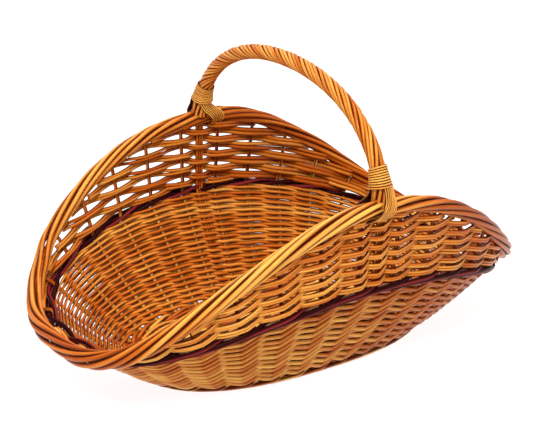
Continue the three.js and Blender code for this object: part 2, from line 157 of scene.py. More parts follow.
# Middle of a lashing in millimetres from the middle of the border: along the rim, out of the basket, up
LASHING_ROUTE = (
    (4, 5.5, 25), (5, 7.5, 16), (4.5, 10.6, 8), (2, 11.4, 0),
    (-4, 10.4, -6.5), (-12, 6, -10.8), (-19, 0, -12.4), (-23, -6.5, -10),
    (-21, -11, -3), (-14, -12.8, 4), (-6, -14.5, 11), (0, -15.6, 17),
    (3, -16.2, 25),
)

MAT_RINGS = 20
MAT_ROD_RADIUS = 2.8 * MM
MAT_WAVES = 8  # of a rod that passes over one stick's end and under the next, round the 16 ends
MAT_CLEARANCE = 0.1 * MM

FLOOR_HALF_SIZE = 6
FLOOR_GLOW = 0.9
WORLD_STRENGTH = 0.42
LIGHT_TARGET = Vector((0, 0, 0.15))


def length(name, description, millimetres):
    default = millimetres * MM
    return FloatProperty(name=name, description=description, default=default, unit="LENGTH", precision=4)


def power(name, description, value):
    return FloatProperty(name=name, description=description, default=value, min=0.1, max=6)


def count(name, description, value):
    return IntProperty(name=name, description=description, default=value, min=1)


def colour(name, description, value):
    return FloatVectorProperty(
        name=name, description=description, default=value, size=3, subtype="COLOR", min=0, max=1
    )


class CarrierShape(bpy.types.PropertyGroup):
    """The three ovals that shape the basket, and the handle's arch"""

    base_half_length: length("Base half length", "Middle of the wall at its foot, at the ends", 183)
    base_half_width: length("Base half width", "Middle of the wall at its foot, at the sides", 97)
    base_power: power("Base squareness", "2 is an ellipse, more is squarer", 2.45)
    base_thickness: length("Base thickness", "Woven mat with its sticks", 14)
    wale_half_length: length("Wale half length", "Dark row, at the ends", 277)
    wale_half_width: length("Wale half width", "Dark row, at the sides", 172.5)
    wale_power: power("Wale squareness", "2 is an ellipse, more is squarer", 2.55)
    wale_end_height: length("Wale end height", "Dark row over the floor at the ends", 67)
    wale_side_height: length("Wale side height", "Dark row over the floor at the sides", 133)
    rim_half_length: length("Rim half length", "Middle of the border, at the ends", 296)
    rim_half_width: length("Rim half width", "Middle of the border, at the sides", 176)
    rim_power: power("Rim squareness", "2 is an ellipse, more is squarer", 2.67)
    rim_end_height: length("Rim end height", "Middle of the border over the floor at the ends", 69)
    rim_side_height: length("Rim side height", "Middle of the border over the floor at the sides", 229)
    rim_sweep: power("Rim sweep", "How fast the rim drops from the handle to the ends", 1.15)
    end_flare: power("End flare", "Under 1, the end walls spread first and then rise", 0.72)
    side_flare: power("Side flare", "Under 1, the side walls spread first and then rise", 0.845)
    handle_rise: length("Handle rise", "Middle of the bow over the middle of the border", 117)
    handle_power: power("Handle squareness", "2 is an ellipse, more is squarer", 2.11)
    handle_inset: length("Handle inset", "The bow leans in from the middle of the border", 3)


class CarrierRods(bpy.types.PropertyGroup):
    """Numbers and sizes of the willow rods"""

    stakes: count("Stakes", "Upright rods round the basket", 32)
    stake_radius: length("Stake radius", "Upright rods", 3)
    lower_rows_back: count("Lower rows, back", "Rows under the dark wale at the back", 18)
    lower_rows_front: count("Lower rows, front", "Rows under the dark wale at the front", 12)
    upper_row_back: length("Upper row, back", "Height of a pair of rods at the back", 9.4)
    upper_row_front: length("Upper row, front", "Height of a pair of rods at the front", 5.6)
    wale_radius: length("Wale rod radius", "Dark rods", 2.5)
    border_slots: count("Border rods across", "Rods side by side in the border", 7)
    border_laps: count("Border rods in line", "Rods one after the other in the border", 3)
    border_radius: length("Border rod radius", "Rods of the border", 2.85)
    border_spread: length("Border spread", "From the middle of the border to the middle of a rod", 6.6)
    border_turns: count("Border turns", "Turns of the border's rods round each other", 5)
    bow_radius: length("Bow radius", "Core rod of the handle", 4.8)
    strands: count("Roping strands", "Rods laid round the bow", 11)
    strand_radius: length("Strand radius", "Rods laid round the bow", 2.08)
    foot_flare: length("Foot flare", "Spread of the strands at the border", 2)
    binding_turns: count("Binding turns", "Turns of split willow round each foot of the handle", 9)
    binding_pitch: length("Binding pitch", "From turn to turn", 2.5)
    binding_height: length("Binding height", "Lowest turn over the middle of the border", 21)
    fan_strands: count("Lashing strands", "Strands side by side in each lashing", 7)
    fan_spacing: length("Lashing spacing", "From strand to strand", 2.25)


class CarrierFinish(bpy.types.PropertyGroup):
    """Colours of the varnished willow"""

    straw: colour("Straw", "Palest rods", (0.86, 0.44, 0.08))
    amber: colour("Amber", "Most rods", (0.54, 0.12, 0.006))
    chestnut: colour("Chestnut", "Darkest rods", (0.32, 0.038, 0.002))
    # Painted shade that darkens the flanks of the rods and the gaps between them
    painted_shade: colour("Painted shade", "Painted shade between the rods", (0.05, 0.005, 0.001))
    # Lighter painted shade, between rods that are laid side by side
    painted_crevice_shade: colour("Painted crevice shade", "Between rods that are laid side by side", (0.15, 0.02, 0.002))
    dark: colour("Dark wale", "Dyed rods", (0.022, 0.002, 0.003))
    # Painted highlight on the crests of the dyed rods
    dark_painted_highlight: colour("Dark wale crests", "Painted highlight on the crests of the dyed rods", (0.2, 0.018, 0.018))
    floor: colour("Floor", "Studio floor", (0.3, 0.3, 0.3))


# Ovals and the wall between them. Angles run from the +X end.
# Rise is 0 at the base, 1 at the wale and 2 at the rim.
def signed_power(value, exponent):
    return np.sign(value) * np.abs(value) ** exponent


def oval(half_length, half_width, squareness, angle, height):
    x = half_length * signed_power(np.cos(angle), 2 / squareness)
    y = half_width * signed_power(np.sin(angle), 2 / squareness)
    return np.stack([x, y, np.broadcast_to(height, x.shape)], axis=-1)


def wale_point(shape, angle):
    along = np.abs(np.cos(angle)) ** (2 / shape.wale_power)
    height = shape.wale_side_height + (shape.wale_end_height - shape.wale_side_height) * along**2
    return oval(shape.wale_half_length, shape.wale_half_width, shape.wale_power, angle, height)


def rim_point(shape, angle):
    along = np.abs(np.cos(angle)) ** (2 / shape.rim_power)
    share = np.clip(1 - along**2, 0, 1) ** shape.rim_sweep
    height = shape.rim_end_height + (shape.rim_side_height - shape.rim_end_height) * share
    return oval(shape.rim_half_length, shape.rim_half_width, shape.rim_power, angle, height)


def wall_point(shape, angle, rise):
    angle, rise = np.broadcast_arrays(angle, rise)
    wale = wale_point(shape, angle)
    low = np.clip(rise, 0, 1)
    end_spread = shape.wale_half_length - shape.base_half_length
    side_spread = shape.wale_half_width - shape.base_half_width
    half_length = shape.base_half_length + end_spread * low**shape.end_flare
    half_width = shape.base_half_width + side_spread * low**shape.side_flare
    squareness = shape.base_power + (shape.wale_power - shape.base_power) * low
    foot = shape.base_thickness / 2
    lower = oval(half_length, half_width, squareness, angle, foot + (wale[..., 2] - foot) * low)
    upper = wale + (rim_point(shape, angle) - wale) * np.clip(rise - 1, 0, None)[..., None]
    return np.where((rise > 1)[..., None], upper, lower)


def unit(vectors):
    return vectors / np.linalg.norm(vectors, axis=-1, keepdims=True)


def wall_frame(shape, angle, rise):
    """Directions up the wall and out of it"""
    step, turn = 0.02, 1e-3
    above = wall_point(shape, angle, rise + step)
    below = wall_point(shape, angle, np.clip(rise - step, 0, None))
    up = unit(above - below)
    around = wall_point(shape, angle + turn, rise) - wall_point(shape, angle - turn, rise)
    return up, unit(np.cross(around, up))


def run_along(line):
    """Length of a line up to each of its points"""
    return np.concatenate([[0], np.cumsum(np.linalg.norm(np.diff(line, axis=0), axis=1))])


def at_run(line, run, wanted):
    """Points of a line at the wanted lengths"""
    return np.stack([np.interp(wanted, run, line[:, axis]) for axis in range(3)], axis=-1)


def even_angle(shape, share):
    """Angles that stand evenly spaced along the wale, by their share of its length"""
    angles = np.linspace(0, TAU, 4001)
    run = run_along(wale_point(shape, angles))
    turns = np.floor(share)
    return np.interp(share - turns, run / run[-1], angles) + TAU * turns


def eased(share, places, values):
    """Smooth values between given ones, level at each of them"""
    index = np.interp(share, places, np.arange(len(places)))
    whole = np.floor(index)
    part = 0.5 - 0.5 * np.cos(math.pi * (index - whole))
    return np.interp(whole + part, np.arange(len(places)), values)


def faded(share, place, width):
    """1 at one place round the basket, fading out on both sides of it"""
    away = (share - place + 0.5) % 1 - 0.5
    return np.exp(-((away / width) ** 2))


def upright_shares(rods):
    """Places of the stakes and of the bow's two legs, in order, as shares of the wale's length"""
    stakes = (np.arange(rods.stakes) + 0.5) / rods.stakes
    return np.sort(np.append(stakes, LEG_SHARES))


def woven_share(rods, gap):
    """Share of the wale's length at a place that is counted in uprights"""
    places = upright_shares(rods)
    laps = np.concatenate([places + lap for lap in range(-1, 4)])
    return np.interp(gap, np.arange(len(laps)) - len(places), laps)


def woven_level(gap, stepped):
    """Climb of a weaver, one step to a gap: evenly, or stepped, level past an upright and steep between"""
    return gap - stepped * np.sin(TAU * gap) / TAU


def woven_depth(gap):
    """Swing of a weaver through the wall: 1 outside its first upright, -1 inside the next"""
    return signed_power(np.cos(math.pi * gap), 0.8)


def kinked(gap):
    """Bend of a weaver along the wall: lowest as it passes an upright, highest half-way to the next"""
    return 1 - 4 * np.abs(gap % 1 - 0.5)


def upper_length(shape, angle):
    return np.linalg.norm(rim_point(shape, angle) - wale_point(shape, angle), axis=-1)


def lower_length(shape, angle, rise):
    """Length of the lower wall from its foot to the wale, if all of it were drawn out as at this rise"""
    step = 0.03
    low, high = np.clip(rise - step, 0, None), np.clip(rise + step, None, 1)
    run = np.linalg.norm(wall_point(shape, angle, high) - wall_point(shape, angle, low), axis=-1)
    return run / (high - low)


def rounded(points, number):
    """Evenly spaced points on a smooth line along given ones, by cutting its corners over and over"""
    line = np.asarray(points, dtype=float)
    for _ in range(4):
        cut = np.empty((2 * len(line) - 2, 3))
        cut[0::2] = 0.75 * line[:-1] + 0.25 * line[1:]
        cut[1::2] = 0.25 * line[:-1] + 0.75 * line[1:]
        line = np.concatenate([line[:1], cut, line[-1:]])
    run = run_along(line)
    return at_run(line, run, np.linspace(0, run[-1], number))


class RodMesh:
    """Collects round rods and turns them into one mesh with its grain laid along each rod"""

    def __init__(self, seed):
        self.random = np.random.default_rng(seed)
        self.points = []
        self.faces = []
        self.grain = []
        self.tone = []
        self.crest = []
        self.total = 0

    def add(self, path, side, radius, sides=8, closed=False, tone=None, flat=1.0, bundled=False):
        """Sweeps a ring of points along a path; side is the direction out of the wall or the bundle"""
        path = np.asarray(path)
        steps = len(path)
        radius = np.broadcast_to(radius, steps)
        if closed:
            along = np.roll(path, -1, axis=0) - np.roll(path, 1, axis=0)
        else:
            along = np.gradient(path, axis=0)
        along = unit(along)
        side = np.broadcast_to(side, path.shape)
        side = unit(side - (side * along).sum(axis=1, keepdims=True) * along)
        other = np.cross(along, side)
        turn = TAU * np.arange(sides) / sides
        outward = side[:, None] * (np.cos(turn) * flat)[None, :, None]
        sideways = other[:, None] * np.sin(turn)[None, :, None]
        rings = path[:, None] + (outward + sideways) * radius[:, None, None]
        grain = np.empty_like(rings)
        grain[..., 0] = run_along(path)[:, None] + self.random.uniform(0, 40)
        grain[..., 1] = np.cos(turn)[None] * radius[:, None]
        grain[..., 2] = np.sin(turn)[None] * radius[:, None]
        first = self.total
        spans = steps if closed else steps - 1
        row = np.arange(spans)[:, None] * sides
        after = ((np.arange(spans)[:, None] + 1) % steps) * sides
        here = np.arange(sides)[None]
        ahead = (here + 1) % sides
        quads = np.stack([row + here, row + ahead, after + ahead, after + here], axis=-1).reshape(-1, 4)
        self.faces.extend((quads + first).tolist())
        if not closed:
            self.faces.append(list(range(first + sides - 1, first - 1, -1)))
            self.faces.append(list(range(first + (steps - 1) * sides, first + steps * sides)))
        tone = self.random.uniform() if tone is None else tone
        self.points.append(rings.reshape(-1, 3))
        self.grain.append(grain.reshape(-1, 3))
        self.tone.append(np.repeat(np.broadcast_to(tone, steps), sides))
        # Crest is 1 where a rod faces along side and 0 on its flanks, or -1 facing into a bundle; the grain
        # group paints highlight on crests and shade on flanks from it
        crest = np.cos(turn) if bundled else np.abs(np.cos(turn))
        self.crest.append(np.tile(crest, steps))
        self.total += steps * sides

    def build(self, name, material, nodes):
        """Makes the piece, puts it on the basket and lets it stand for its CAD nodes"""
        mesh = bpy.data.meshes.new(name)
        mesh.from_pydata(np.concatenate(self.points).tolist(), [], self.faces)
        for label, kind, field, values in (
            ("grain", "FLOAT_VECTOR", "vector", self.grain),
            ("tone", "FLOAT", "value", self.tone),
            ("crest", "FLOAT", "value", self.crest),
        ):
            layer = mesh.attributes.new(label, kind, "POINT")
            layer.data.foreach_set(field, np.concatenate(values).astype(np.float32).ravel())
        mesh.polygons.foreach_set("use_smooth", [len(face) == 4 for face in self.faces])
        mesh.materials.append(material)
        mesh.update()
        piece = bpy.data.objects.new(name, mesh)
        bpy.context.scene.collection.objects.link(piece)
        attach(piece, "root")
        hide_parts(*nodes)


# Willow: shared group of grain, painted highlight and painted shade, and one material for each finish
def grain_and_light_group():
    """Streaks and mottling along a rod, with painted highlight on its crests and painted shade on its
    flanks, from what is laid on the mesh
    """
    name = "Willow grain and painted light"
    if name in bpy.data.node_groups:
        return bpy.data.node_groups[name]
    group = bpy.data.node_groups.new(name, "ShaderNodeTree")
    for side, kind, sockets in (
        ("INPUT", "Color", ("Painted shade", "Dark", "Middle", "Pale")),
        ("INPUT", "Float", ("Streaks",)),
        ("OUTPUT", "Color", ("Color",)),
        ("OUTPUT", "Float", ("Roughness", "Height")),
    ):
        for socket in sockets:
            group.interface.new_socket(name=socket, in_out=side, socket_type="NodeSocket" + kind)
    nodes, links = group.nodes, group.links
    enter = nodes.new("NodeGroupInput")
    leave = nodes.new("NodeGroupOutput")

    def laid(label, output):
        node = nodes.new("ShaderNodeAttribute")
        node.attribute_name = label
        return node.outputs[output]

    grain, tone, crest = laid("grain", "Vector"), laid("tone", "Fac"), laid("crest", "Fac")

    def noise(along, across, detail, roughness):
        """Noise drawn out along the rod, with its waves per metre along and across it"""
        mapping = nodes.new("ShaderNodeMapping")
        mapping.inputs["Scale"].default_value = (along, across, across)
        links.new(grain, mapping.inputs["Vector"])
        texture = nodes.new("ShaderNodeTexNoise")
        texture.inputs["Scale"].default_value = 1
        texture.inputs["Detail"].default_value = detail
        texture.inputs["Roughness"].default_value = roughness
        links.new(mapping.outputs["Vector"], texture.inputs["Vector"])
        return texture.outputs["Fac"]

    def maths(operation, *values):
        node = nodes.new("ShaderNodeMath")
        node.operation = operation
        for socket, value in zip(node.inputs, values):
            if isinstance(value, (int, float)):
                socket.default_value = value
            else:
                links.new(value, socket)
        return node.outputs[0]

    def between(value, low, high, easing="LINEAR"):
        """0 under the low value and 1 over the high one"""
        node = nodes.new("ShaderNodeMapRange")
        node.interpolation_type = easing
        node.inputs["From Min"].default_value = low
        node.inputs["From Max"].default_value = high
        links.new(value, node.inputs["Value"])
        return node.outputs["Result"]

    def mix(factor, first, second):
        node = nodes.new("ShaderNodeMix")
        node.data_type = "RGBA"
        links.new(factor, node.inputs["Factor"])
        links.new(first, node.inputs["A"])
        links.new(second, node.inputs["B"])
        return node.outputs["Result"]

    streaks = noise(along=60, across=1500, detail=4, roughness=0.6)
    mottle = noise(along=9, across=130, detail=3, roughness=0.5)
    fine = noise(along=140, across=3500, detail=3, roughness=0.6)
    drift = maths("SUBTRACT", mottle, 0.5)
    streak = maths("MULTIPLY", maths("SUBTRACT", streaks, 0.5), enter.outputs["Streaks"])
    # Painted highlight on each rod's crest and painted shade on its flanks, added to its tone
    painted_crest_light = maths("MULTIPLY_ADD", crest, 0.55, -0.36)
    lit = maths("MULTIPLY_ADD", drift, 0.9, maths("ADD", maths("ADD", tone, painted_crest_light), streak))
    warm = mix(between(lit, 0, 0.5), enter.outputs["Dark"], enter.outputs["Middle"])
    bare = mix(between(lit, 0.45, 1.05), warm, enter.outputs["Pale"])
    # Painted shade: flanks turned away from a rod's crest take the first colour
    clear_of_painted_shade = between(maths("MULTIPLY_ADD", drift, 0.4, crest), 0.1, 0.92, "SMOOTHSTEP")
    links.new(mix(clear_of_painted_shade, enter.outputs["Painted shade"], bare), leave.inputs["Color"])
    links.new(maths("MULTIPLY_ADD", fine, 0.2, 0.24), leave.inputs["Roughness"])
    links.new(maths("MULTIPLY_ADD", fine, 0.5, streaks), leave.inputs["Height"])
    return group


def willow(name, painted_shade, dark, middle, pale, streaks=0.55, ior=1.42, gloss=(1, 0.76, 0.36)):
    """Varnished willow in three tones, with painted shade where its rods' flanks turn away"""
    if name in bpy.data.materials:
        return bpy.data.materials[name]
    material = bpy.data.materials.new(name)
    material.use_nodes = True
    nodes, links = material.node_tree.nodes, material.node_tree.links
    shader = nodes["Principled BSDF"]
    shader.inputs["IOR"].default_value = ior
    shader.inputs["Specular Tint"].default_value = (*gloss, 1)
    grain = nodes.new("ShaderNodeGroup")
    grain.node_tree = grain_and_light_group()
    for socket, value in (("Painted shade", painted_shade), ("Dark", dark), ("Middle", middle), ("Pale", pale)):
        grain.inputs[socket].default_value = (*value, 1)
    grain.inputs["Streaks"].default_value = streaks
    links.new(grain.outputs["Color"], shader.inputs["Base Color"])
    links.new(grain.outputs["Roughness"], shader.inputs["Roughness"])
    bump = nodes.new("ShaderNodeBump")
    bump.inputs["Strength"].default_value = 0.25
    bump.inputs["Distance"].default_value = 0.4 * MM
    links.new(grain.outputs["Height"], bump.inputs["Height"])
    links.new(bump.outputs["Normal"], shader.inputs["Normal"])
    return material


def golden_willow(finish):
    return willow("Golden willow", finish.painted_shade, finish.chestnut, finish.amber, finish.straw)


def laid_willow(finish):
    tones = (finish.painted_crevice_shade, finish.chestnut, finish.amber, finish.straw)
    return willow("Laid willow", *tones, ior=1.46, gloss=(1, 0.72, 0.26))


def red_willow(finish):
    return willow("Red willow", finish.painted_shade, finish.chestnut, finish.amber, finish.amber)


def dark_willow(finish):
    return willow("Dyed willow", finish.dark, finish.dark, finish.dark, finish.dark_painted_highlight, ior=1.12)


def pale_skein(finish):
    return willow("Pale skein", finish.painted_shade, finish.amber, finish.straw, finish.straw, streaks=0.3)


def settings(context):
    scene = context.scene
    return scene.carrier_shape, scene.carrier_rods, scene.carrier_finish


class CARRIER_OT_stakes(bpy.types.Operator):
    """Upright rods, tucked into the base and run up the middle of the wall to the border"""

    bl_idname = "carrier.stakes"
    bl_label = "Stakes"

    def execute(self, context):
        shape, rods, finish = settings(context)
        mesh = RodMesh(11)
        for number in range(rods.stakes):
            angle = even_angle(shape, np.array((number + 0.5) / rods.stakes))
            top = 2 - UNDER_BORDER / upper_length(shape, angle)
            rise = np.concatenate([np.linspace(0, 1, 18), np.linspace(1, top, 9)[1:]])
            path = wall_point(shape, np.full(rise.shape, angle), rise)
            outward = np.append(unit(path[0, :2]), 0)
            path = np.concatenate([[path[0] - outward * STAKE_TUCK], path])
            lower_tone = STAKE_LIT_TONE if number < rods.stakes / 2 else STAKE_LOWER_SHADE
            upper_tone = STAKE_LIT_TONE if number < rods.stakes / 6 else STAKE_UPPER_SHADE
            tone = np.interp(np.insert(rise, 0, 0), [0.9, 1.1], [lower_tone, upper_tone])
            tone = tone + mesh.random.uniform(0, 0.2)
            radius = rods.stake_radius * np.linspace(*STAKE_TAPER, len(path))
            mesh.add(path, np.cross(outward, (0, 0, 1)), radius, sides=10, tone=tone)
        mesh.build("stakes", golden_willow(finish), STAKE_NODES)
        return {"FINISHED"}


def wale_rods(mesh, shape, rods, rise, radius, half_height, along_wall):
    """Four rods, each outside three stakes and inside the next, that climb over each other in turn"""
    gap = np.arange(rods.stakes * PER_GAP) / PER_GAP
    angle = even_angle(shape, (gap + 0.5) / rods.stakes)
    level = np.full(gap.shape, rise)
    up, out = wall_frame(shape, angle, level)
    middle = wall_point(shape, angle, level)
    depth = rods.stake_radius + radius
    one_stake = 1 / WALE_RODS
    for rod in range(WALE_RODS):
        turn = (gap - rod) / WALE_RODS
        away = np.abs(turn - np.round(turn))
        inside = np.where(away < one_stake, 0.5 + 0.5 * np.cos(math.pi * away / one_stake), 0)
        climb = -sum(np.sin(TAU * wave * turn) * weight / wave for wave, weight in WALE_WAVES) * 2 / math.pi
        path = middle + out * (depth * (1 - 2 * inside))[:, None]
        path = path + up * (half_height * climb + along_wall)[:, None]
        mesh.add(path, out, radius, closed=True)


class LowerRun(NamedTuple):
    """One half of the lower weave: where it runs, and how its rods bend, swell and are coloured"""

    rows: int
    foot: float  # rise at which it starts
    begin: float  # its ends, counted in uprights from the far end
    end: float
    with_leg: bool  # whether the bow's leg is one of those uprights
    stepped: float  # 1 runs level past each upright, 0 climbs evenly
    kink: float  # height of the bend at each upright, in half rows
    thickness: tuple  # radius in rows half-way between uprights, and what is added outside and inside one
    depth: tuple  # swing out of the wall and into it
    crowded: float  # 1 changes its rods at both ends, 0 leaves them even
    lean: float  # how far the crests of its rods, with their painted highlight, turn up the wall, leaving painted shade on their undersides
    tones: tuple  # least and most
    bend_painted_light: tuple  # painted highlight added where a rod climbs, painted shade where it runs level


class CARRIER_OT_lower_weave(bpy.types.Operator):
    """Fine weave under the dark wale: every rod passes outside one stake and inside the next as it climbs"""

    bl_idname = "carrier.lower_weave"
    bl_label = "Lower weave"

    def execute(self, context):
        shape, rods, finish = settings(context)
        mesh = RodMesh(12)
        back = LowerRun(
            rows=rods.lower_rows_back, foot=0.05, begin=-0.625, end=16.625, with_leg=True,
            stepped=0.85, kink=0, thickness=(0.335, 0.09, -0.02), depth=(3.8 * MM, 2.6 * MM),
            crowded=1, lean=0, tones=(0.26, 0.58), bend_painted_light=(0, 0),
        )
        front = LowerRun(
            rows=rods.lower_rows_front, foot=0.012, begin=15.375, end=31.625, with_leg=False,
            stepped=0, kink=0.66, thickness=(0.268, 0, 0.2), depth=(2.8 * MM, 3.4 * MM),
            crowded=0, lean=0.9, tones=(0.28, 0.6), bend_painted_light=(0.14, -0.06),
        )
        self.weave(mesh, shape, rods, back)
        self.weave(mesh, shape, rods, front)
        # The row that closes the foot of the wall
        wale_rods(mesh, shape, rods, rise=0.02, radius=2.4 * MM, half_height=4 * MM, along_wall=1 * MM)
        mesh.build("lower_weave_rods", golden_willow(finish), ["lower_weave"])
        return {"FINISHED"}

    def weave(self, mesh, shape, rods, run):
        """Rods that start one upright apart and climb a row in two gaps, cut off at the ends of the run"""
        gaps = 2 * run.rows
        wall = LOWER_TOP - run.foot
        places = np.arange(run.begin * PER_GAP, run.end * PER_GAP + 1) / PER_GAP
        for first in range(int(run.begin) - gaps, int(run.end) + 1):
            gap = places[(places >= first) & (places <= first + gaps)]
            if len(gap) < PER_GAP:
                continue
            share = woven_share(rods, gap) if run.with_leg else (gap + 0.5) / rods.stakes
            angle = even_angle(shape, share)
            climbed = gap - first
            wander = LOWER_WANDER * np.sin(climbed * LOWER_WANDER_RATE + mesh.random.uniform(0, TAU))
            level = woven_level(climbed, run.stepped) + run.kink * kinked(climbed) + wander
            rise = run.foot + wall * np.clip(level, 0, gaps) / gaps
            swing = woven_depth(climbed)
            outside = swing > 0
            near_end = faded(share, *CROWDED_PLACE)
            crowd = run.crowded * near_end
            plain, added_outside, added_inside = run.thickness
            thickness = plain + np.where(outside, added_outside, added_inside) * swing**2
            thickness = thickness + crowd * (CROWDED_THICKNESS - thickness)
            thickness = thickness + run.crowded * FAR_END_THICKENING * faded(share, *FAR_END_PLACE)
            row = lower_length(shape, angle, rise) * wall / run.rows
            most = np.where(swing < 0, LOWER_MOST_INSIDE, LOWER_MOST_OUTSIDE)
            radius = np.clip(row * thickness * mesh.random.uniform(0.95, 1.05), LOWER_LEAST_RADIUS, most)
            depth = swing * np.where(outside, *run.depth) * (1 + CROWDED_SWING * crowd)
            up, out = wall_frame(shape, angle, rise)
            path = wall_point(shape, angle, rise) + out * depth[:, None]
            far = np.interp(share, FAR_FRONT, (0, 1))
            tone = mesh.random.uniform(*run.tones) - NEAR_END_SHADE * near_end - FAR_FRONT_SHADE * far
            tone = tone + np.where(climbed % 1 > CLIMB_START, *run.bend_painted_light) * (1 - far)
            mesh.add(path, unit(out + run.lean * up), radius, tone=tone)


class CARRIER_OT_dark_wale(bpy.types.Operator):
    """Row of dyed rods between the lower weave and the upper weave"""

    bl_idname = "carrier.dark_wale"
    bl_label = "Dark wale"

    def execute(self, context):
        shape, rods, finish = settings(context)
        mesh = RodMesh(13)
        half_height = 4.6 * MM
        wale_rods(mesh, shape, rods, 1.0, rods.wale_radius, half_height, along_wall=0)
        mesh.build("dark_wale_rods", dark_willow(finish), ["dark_wale"])
        return {"FINISHED"}


class UpperRun(NamedTuple):
    """The upper weave of one side: how its pairs of rods climb, close up and are coloured"""

    seed: int
    side: str
    leg_share: float
    row: float  # height of a pair
    fill: float  # radius of a rod in rows
    pinch: float  # how far a pair closes up at each upright, in radii
    stride: int  # gaps in which a pair climbs one row
    start: int  # gaps for which it lies level before it climbs
    stepped: float  # as in the lower weave
    kink: float
    tones: tuple


class CARRIER_OT_upper_weave(bpy.types.Operator):
    """Weave of paired rods between the dark wale and the border, at the front and the back"""

    bl_idname = "carrier.upper_weave"
    bl_label = "Upper weave"

    def execute(self, context):
        shape, rods, finish = settings(context)
        back = UpperRun(
            seed=14, side="back", leg_share=LEG_SHARES[0], row=rods.upper_row_back, fill=0.243,
            pinch=0.45, stride=3, start=2, stepped=0.5, kink=0, tones=UPPER_BACK_TONES,
        )
        front = UpperRun(
            seed=15, side="front", leg_share=LEG_SHARES[1], row=rods.upper_row_front, fill=0.335,
            pinch=0.06, stride=1, start=1, stepped=0, kink=0.3, tones=UPPER_FRONT_TONES,
        )
        for run in (back, front):
            mesh = RodMesh(run.seed)
            self.weave(mesh, shape, rods, run)
            node = "upper_weave_" + run.side
            mesh.build("upper_weave_rods_" + run.side, golden_willow(finish), [node])
        return {"FINISHED"}

    def weave(self, mesh, shape, rods, run):
        """Pairs of rods that climb past the leg, each cut off where it meets the border"""
        reach = rods.stakes // 4 + 1
        leg = int(np.searchsorted(upright_shares(rods), run.leg_share))
        gap = np.arange(-reach * PER_GAP, reach * PER_GAP + 1) / PER_GAP + leg
        angle = even_angle(shape, woven_share(rods, gap))
        span = upper_length(shape, angle)
        radius = run.fill * run.row
        apart = 1 / (4 * run.fill)
        pinch = run.pinch * np.clip((gap - leg + PINCH_RUN) / PINCH_RUN, 0, 1)
        swell = 1 + PINCH_SWELL * run.pinch * np.clip((leg - gap) / PINCH_RUN, 0, 1)
        for first in range(leg - (2 + run.stride) * 2 * reach, leg + reach, run.stride):
            climbed = gap - first
            rows = (woven_level(climbed, run.stepped) + run.kink * kinked(climbed)) / run.stride
            level = WALE_TO_UPPER + radius + run.row * np.clip(rows, 0, None)
            fits = (climbed >= -run.start) & (level < span - UNDER_BORDER)
            edges = np.flatnonzero(np.diff(np.concatenate([[False], fits, [False]]).astype(int)))
            for begin, stop in zip(edges[::2], edges[1::2]):
                if stop - begin < PER_GAP // 2:
                    continue
                part = slice(begin, stop)
                for place in (-1, 1):
                    sway = UPPER_SWAY * np.sin(gap[part] * UPPER_SWAY_RATE + mesh.random.uniform(0, TAU))
                    spread = apart - pinch[part] * np.abs(np.cos(math.pi * climbed[part]))
                    rise = 1 + (level[part] + place * radius * spread + sway) / span[part]
                    out = wall_frame(shape, angle[part], rise)[1]
                    depth = (rods.stake_radius + 0.8 * radius) * woven_depth(climbed[part])
                    path = wall_point(shape, angle[part], rise) + out * depth[:, None]
                    plump = mesh.random.uniform(0.92, 1.08)
                    tone = np.interp(gap[part] - leg, *run.tones) + mesh.random.uniform(-0.15, 0.2)
                    mesh.add(path, out, radius * plump * swell[part], tone=tone)


class CARRIER_OT_border(bpy.types.Operator):
    """Bundle of rods laid round the rim, each running on where the one before it ends"""

    bl_idname = "carrier.border"
    bl_label = "Border"

    def execute(self, context):
        shape, rods, finish = settings(context)
        mesh = RodMesh(16)
        core_steps, rod_steps = 240, 200
        core = even_angle(shape, np.arange(core_steps) / core_steps)
        mesh.add(rim_point(shape, core), (0, 0, 1), BORDER_CORE_RADIUS, closed=True, tone=0.15)
        whole = rods.border_slots * rods.border_laps
        done = np.linspace(0, 1, rod_steps)
        own_length = np.linspace(-BORDER_OVERLAP, 1 / rods.border_laps + BORDER_OVERLAP, rod_steps)
        for rod in range(whole):
            share = rod / whole + own_length
            angle = even_angle(shape, share)
            up, out = wall_frame(shape, angle, np.full(share.shape, BORDER_FRAME_RISE))
            sway = mesh.random.uniform(0, TAU, 3)
            slot = rod % rods.border_slots
            turn = TAU * (rods.border_turns * share + slot / rods.border_slots)
            turn = turn + 0.08 * np.sin(TAU * 2 * share + sway[0]) + 0.06 * np.sin(TAU * 7 * share + sway[1])
            spread = rods.border_spread * np.interp(done, *BORDER_ENDS)
            spread = spread * (1 + 0.08 * np.sin(TAU * 3 * share + sway[2]))
            wide = 1 + NEAR_END_WIDENING * faded(share, *BORDER_NEAR_END)
            offset = out * (np.cos(turn) * wide)[:, None] + up * np.sin(turn)[:, None]
            lift = eased(share % 1, *BORDER_LIFT)[:, None] * (0, 0, MM)
            push = out * (1, 1, 0) * eased(share % 1, *BORDER_PUSH)[:, None] * MM
            path = rim_point(shape, angle) + lift + push + offset * spread[:, None]
            plump = mesh.random.uniform(0.9, 1.08)
            radius = rods.border_radius * np.interp(done, *BORDER_TAPER) * plump
            tone = np.interp(share % 1, *BORDER_TONES) + mesh.random.uniform(-0.12, 0.12)
            mesh.add(path, offset, radius, sides=10, tone=tone, bundled=True)
        mesh.build("border_rods", laid_willow(finish), ["border"])
        return {"FINISHED"}


def bow_path(shape, share):
    """Middle of the bow by share of its arch from the back foot, its directions across, and its length"""
    turns = np.linspace(0, math.pi, 2001)
    half_width = shape.rim_half_width - shape.handle_inset
    y = half_width * signed_power(np.cos(turns), 2 / shape.handle_power)
    z = shape.rim_side_height + shape.handle_rise * np.sin(turns) ** (2 / shape.handle_power)
    points = np.stack([np.zeros_like(y), y, z], axis=1)
    run = run_along(points)
    wanted = share * run[-1]
    path = at_run(points, run, wanted)
    along = unit(at_run(points, run, wanted + 1 * MM) - at_run(points, run, wanted - 1 * MM))
    across = np.broadcast_to(np.array([1.0, 0, 0]), path.shape)
    return path, across, np.cross(along, across), run[-1]


